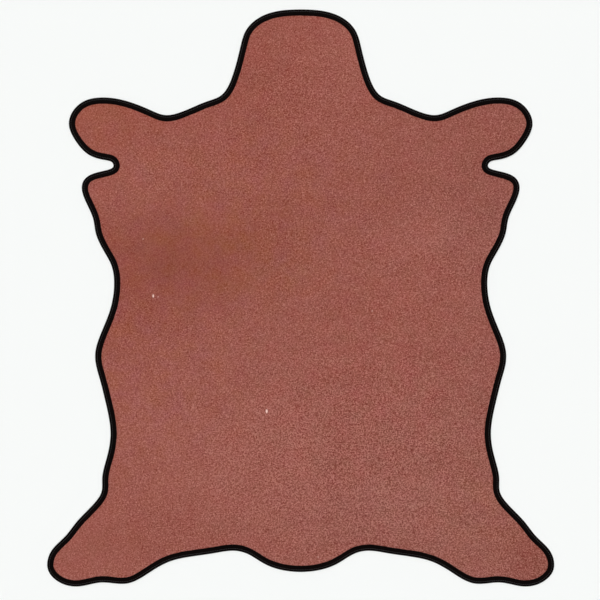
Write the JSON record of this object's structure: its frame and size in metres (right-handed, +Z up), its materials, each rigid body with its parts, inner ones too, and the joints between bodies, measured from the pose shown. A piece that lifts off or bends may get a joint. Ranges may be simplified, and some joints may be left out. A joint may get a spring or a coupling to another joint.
{
  "type": "leather hide",
  "caption": "Flat leather hide in the outline of a dressed skin, grain side up, its cut edge bound all round with a folded leather strip.",
  "frame": {"origin": "on the floor, under the middle of the hide's outline", "axes": "+Z up, out of the grain side; +Y towards the neck; +X to the right, seen from above with the neck at the top"},
  "size_m": [2.026, 2.305, 0.0046],
  "materials": {
    "hide_leather": "red-brown, fine even grain, dull satin",
    "binding_leather": "black, smooth, dull satin",
    "stitching_thread": "black waxed thread"
  },
  "bodies": {
    "root": {"hide": "hide_leather", "edge_binding": "binding_leather"}
  },
  "joints": []
}
